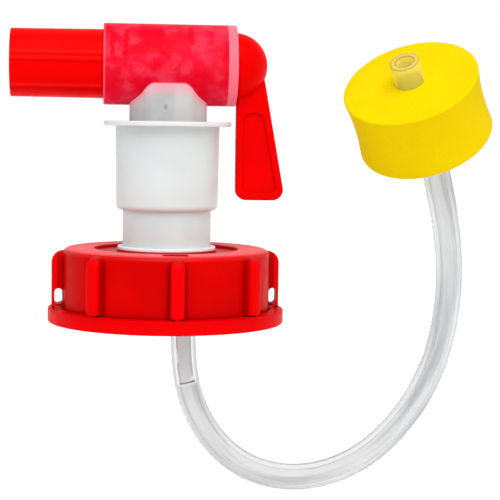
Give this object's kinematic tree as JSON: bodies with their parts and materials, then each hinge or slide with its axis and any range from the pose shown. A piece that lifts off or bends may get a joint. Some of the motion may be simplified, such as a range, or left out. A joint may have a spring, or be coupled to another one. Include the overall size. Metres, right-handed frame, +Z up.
{
  "type": "jerrycan tap",
  "caption": "Vented pouring tap for a jerrycan: ribbed screw cap, swivelling neck, turning spout with lever, and an air hose with a float.",
  "frame": {"origin": "on the neck's axis, in the plane where the can's rim meets the gasket", "axes": "+Z up the neck, away from the can; -X the way the spout points; +X the end with the lever"},
  "size_m": [0.1337, 0.1106, 0.1414],
  "materials": {
    "cap_red": "moulded polyethylene, satin",
    "key_red": "moulded polyethylene, satin",
    "natural_white": "natural polyethylene, milky and slightly see-through",
    "gasket_grey": "soft foam sheet",
    "seal_black": "smooth rubber",
    "clear_hose": "clear soft vinyl",
    "float_yellow": "closed-cell foam with a cut skin"
  },
  "bodies": {
    "root": {"screw_cap": "cap_red"},
    "tap": {"sealing_gasket": "gasket_grey", "neck_adaptor": "natural_white", "retaining_ring": "natural_white", "socket_o_ring": "seal_black", "tap_body": "natural_white", "vent_pipe": "natural_white", "vent_hose": "clear_hose", "hose_float": "float_yellow"},
    "key": {"tap_key": "key_red"}
  },
  "joints": [
    {"name": "neck_swivel", "type": "hinge", "parent": "root", "child": "tap", "pos_m": [0, 0, 0], "axis": [0, 0, 1], "continuous": true},
    {"name": "key_turn", "type": "hinge", "parent": "tap", "child": "key", "pos_m": [0, 0, 0.06265], "axis": [-1, 0, 0], "range_deg": [0, 90]}
  ]
}
